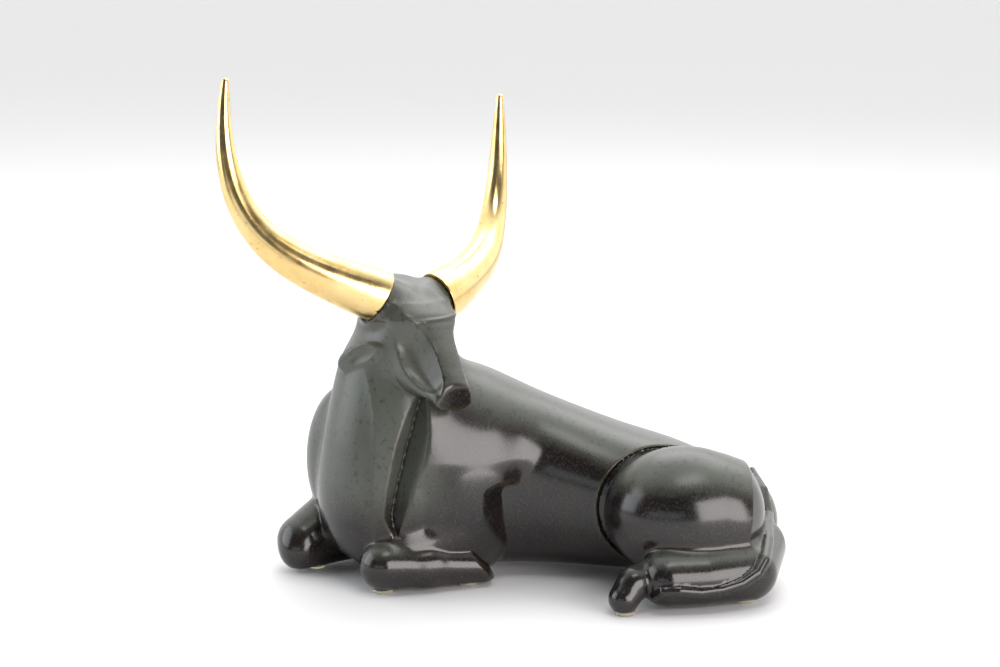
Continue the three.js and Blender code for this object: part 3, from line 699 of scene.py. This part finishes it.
# ---------- materials ----------
class Nodes:
    """Short way to lay out a material's nodes."""

    def __init__(self, name):
        self.mat = bpy.data.materials.new(name)
        self.mat.use_nodes = True
        self.tree = self.mat.node_tree
        self.tree.nodes.clear()
        self.out = self.tree.nodes.new("ShaderNodeOutputMaterial")
        self.bsdf = self.tree.nodes.new("ShaderNodeBsdfPrincipled")
        self.tree.links.new(self.bsdf.outputs[0], self.out.inputs[0])

    def new(self, kind, **values):
        n = self.tree.nodes.new("ShaderNode" + kind)
        for k, v in values.items():
            setattr(n, k, v)
        return n

    def link(self, a, b):
        self.tree.links.new(a, b)
        return b.node

    def place(self):
        return self.new("TexCoord").outputs["Object"]

    def noise(self, scale, detail=2, rough=0.5, distortion=0.0, vec=None):
        n = self.new("TexNoise")
        n.inputs["Scale"].default_value = scale
        n.inputs["Detail"].default_value = detail
        n.inputs["Roughness"].default_value = rough
        n.inputs["Distortion"].default_value = distortion
        self.link(vec or self.place(), n.inputs["Vector"])
        return n.outputs["Fac"]

    def ramp(self, fac, stops, mode="LINEAR"):
        n = self.new("ValToRGB")
        n.color_ramp.interpolation = mode
        while len(n.color_ramp.elements) < len(stops):
            n.color_ramp.elements.new(0.5)
        for e, (p, c) in zip(n.color_ramp.elements, stops):
            e.position = p
            e.color = (*c, 1) if len(c) == 3 else c
        self.link(fac, n.inputs[0])
        return n.outputs[0]

    def span(self, x, a, b, c=0.0, d=1.0):
        n = self.new("MapRange")
        n.clamp = True
        for i, v in zip((1, 2, 3, 4), (a, b, c, d)):
            n.inputs[i].default_value = v
        self.link(x, n.inputs[0])
        return n.outputs[0]

    def math(self, op, a, b=None):
        n = self.new("Math", operation=op)
        for i, v in enumerate((a, b)):
            if v is None:
                continue
            if isinstance(v, (int, float)):
                n.inputs[i].default_value = v
            else:
                self.link(v, n.inputs[i])
        return n.outputs[0]

    def mix(self, fac, a, b, blend="MIX"):
        n = self.new("Mix", data_type="RGBA", blend_type=blend)
        for i, v in ((0, fac), (6, a), (7, b)):
            if isinstance(v, (int, float)):
                n.inputs[i].default_value = v
            elif isinstance(v, tuple):
                n.inputs[i].default_value = (*v, 1)
            else:
                self.link(v, n.inputs[i])
        return n.outputs[2]

    def attribute(self, name):
        return self.new("Attribute", attribute_name=name).outputs["Fac"]

    def bump(self, height, strength, distance, under=None):
        n = self.new("Bump")
        n.inputs["Strength"].default_value = strength
        n.inputs["Distance"].default_value = distance
        self.link(height, n.inputs["Height"])
        if under:
            self.link(under, n.inputs["Normal"])
        return n.outputs[0]


def bronze():
    m = Nodes("patinated_bronze")
    cloud = m.noise(22, 4, 0.6)
    grain = m.noise(900, 3, 0.6)
    fleck = m.noise(420, 2, 0.5)
    # green grey patina over brown black, broken up by clouds; on whatever faces up this lighter tone is painted light
    # from above
    tone_and_top_light = m.math("ADD", m.attribute("patina_and_top_light"), m.math("MULTIPLY", m.math("SUBTRACT", cloud, 0.5), 0.7))
    tone_and_top_light = m.span(tone_and_top_light, 0.1, 0.95)
    brown = m.mix(m.span(m.noise(38, 3, 0.6), 0.35, 0.65), (0.0065, 0.0055, 0.006), (0.0125, 0.0085, 0.0075))
    # lighter grey green: patina on neck and head, painted light from above on upward faces
    base = m.mix(tone_and_top_light, brown, (0.062, 0.068, 0.056))
    base = m.mix(m.math("MULTIPLY", m.span(grain, 0.5, 0.75), 0.3), base, (0.075, 0.075, 0.06))
    base = m.mix(m.math("MULTIPLY", m.span(fleck, 0.3, 0.42, 1, 0), 0.5), base, (0.005, 0.0045, 0.0045))
    base = m.mix(m.math("MULTIPLY", m.attribute("crest"), 0.3), base, (0.09, 0.062, 0.03))
    base = m.mix(m.math("MULTIPLY", m.attribute("crease"), 0.7), base, (0.004, 0.0035, 0.0035))
    m.link(base, m.bsdf.inputs["Base Color"])
    m.bsdf.inputs["Metallic"].default_value = 0.0
    rough = m.math("ADD", m.span(tone_and_top_light, 0, 1, 0.17, 0.31), m.math("MULTIPLY", m.span(grain, 0.4, 0.7), 0.05))
    m.link(rough, m.bsdf.inputs["Roughness"])
    m.bsdf.inputs["IOR"].default_value = 1.52
    b = m.bump(grain, 0.08, 0.0001)
    b = m.bump(m.noise(70, 2, 0.5), 0.06, 0.0004, b)
    m.link(b, m.bsdf.inputs["Normal"])
    return m.mat


def brass():
    m = Nodes("polished_brass")
    cloud = m.noise(45, 4, 0.6)
    base = m.ramp(cloud, [(0.3, (0.62, 0.42, 0.15)), (0.5, (0.78, 0.56, 0.24)), (0.72, (0.86, 0.66, 0.33))])
    pit = m.noise(520, 2, 0.5)
    base = m.mix(m.math("MULTIPLY", m.span(pit, 0.27, 0.34, 1, 0), 0.55), base, (0.2, 0.12, 0.04))
    m.link(base, m.bsdf.inputs["Base Color"])
    m.bsdf.inputs["Metallic"].default_value = 1
    rough = m.span(m.noise(110, 4, 0.6), 0.3, 0.7, 0.16, 0.27)
    m.link(rough, m.bsdf.inputs["Roughness"])
    b = m.bump(m.noise(260, 3, 0.6), 0.08, 0.0002)
    m.link(b, m.bsdf.inputs["Normal"])
    return m.mat


def clear():
    m = Nodes("clear_soft_plastic")
    base = m.mix(m.span(m.noise(300, 2, 0.5), 0.3, 0.7), (0.86, 0.83, 0.68), (0.78, 0.73, 0.55))
    m.link(base, m.bsdf.inputs["Base Color"])
    m.bsdf.inputs["Roughness"].default_value = 0.22
    m.bsdf.inputs["IOR"].default_value = 1.46
    m.bsdf.inputs["Transmission Weight"].default_value = 0.65
    return m.mat


MATERIALS = {"bronze": bronze(), "horn_brass": brass(), "pad": clear()}
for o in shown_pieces():
    if "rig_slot" in o:
        o.data.materials.clear()
        o.data.materials.append(MATERIALS[o["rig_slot"]])

# ---------- floor, light, camera ----------
scene = bpy.context.scene
scene.view_settings.view_transform = "Standard"


def flat_material(name, colour, rough):
    m = Nodes(name)
    m.bsdf.inputs["Base Color"].default_value = (*colour, 1)
    m.bsdf.inputs["Roughness"].default_value = rough
    m.bsdf.inputs["Specular IOR Level"].default_value = 0.2
    return m.mat


floor = bpy.data.meshes.new("floor")
floor.from_pydata([(-9, -9, 0), (9, -9, 0), (9, 9, 0), (-9, 9, 0)], [], [(0, 1, 2, 3)])
floor = bpy.data.objects.new("floor", floor)
floor.data.materials.append(flat_material("pale_floor", (0.8, 0.8, 0.8), 0.6))
scene.collection.objects.link(floor)

# a white backdrop behind, a darker room in front
world = bpy.data.worlds.new("studio")
scene.world = world
world.use_nodes = True
tree = world.node_tree
sky = tree.nodes["Background"]
split = tree.nodes.new("ShaderNodeSeparateXYZ")
tree.links.new(tree.nodes.new("ShaderNodeTexCoord").outputs["Generated"], split.inputs[0])
span = tree.nodes.new("ShaderNodeMapRange")
span.interpolation_type = "SMOOTHSTEP"
for i, v in zip((1, 2, 3, 4), (-0.3, 0.45, 1.6, 0.08)):
    span.inputs[i].default_value = v
tree.links.new(split.outputs[0], span.inputs[0])
tree.links.new(span.outputs[0], sky.inputs[1])
sky.inputs[0].default_value = (1, 1, 1, 1)


def softbox(name, azimuth, elevation, far, width, height, radiance, tint=(1, 1, 1)):
    """A soft light round the object: azimuth 0 is in front of the bull's face side (-Y), 90 is at the camera (+X)."""
    a, e = math.radians(azimuth), math.radians(elevation)
    data = bpy.data.lights.new(name, "AREA")
    data.shape = "RECTANGLE"
    data.size, data.size_y = width, height
    data.energy = radiance * math.pi * width * height
    data.color = tint
    o = bpy.data.objects.new(name, data)
    scene.collection.objects.link(o)
    at = Vector((math.sin(a) * math.cos(e), -math.cos(a) * math.cos(e), math.sin(e)))
    o.location = Vector((0, 0, 0.08)) + at * far
    o.rotation_mode = "QUATERNION"
    o.rotation_quaternion = (-at).to_track_quat("-Z", "Y")
    return o


softbox("key_right", 130, 12, 1.5, 1.2, 0.92, 7.0, (1, 0.95, 0.95))
softbox("fill_left", 5, 20, 1.5, 1.1, 1.0, 2.6, (0.9, 0.96, 1))
softbox("behind", 250, 50, 1.5, 1.5, 0.9, 2.4)
softbox("streak", 115, 68, 1.5, 0.8, 0.42, 5.0)
softbox("low_band", 68, 6, 1.5, 1.2, 0.24, 1.2, (0.86, 0.94, 1))

cam = bpy.data.cameras.new("camera")
cam.lens, cam.sensor_width = 82.5, 36
cam.clip_start, cam.clip_end = 0.05, 50
camera = bpy.data.objects.new("camera", cam)
scene.collection.objects.link(camera)
e = math.radians(11)
back = Vector((math.cos(e), 0, math.sin(e)))
camera.location = Vector((-FOOT_V / 1000, -FOOT_U / 1000, 0.110)) + back * 1.1
camera.rotation_mode = "QUATERNION"
camera.rotation_quaternion = (-back).to_track_quat("-Z", "Y")
scene.camera = camera
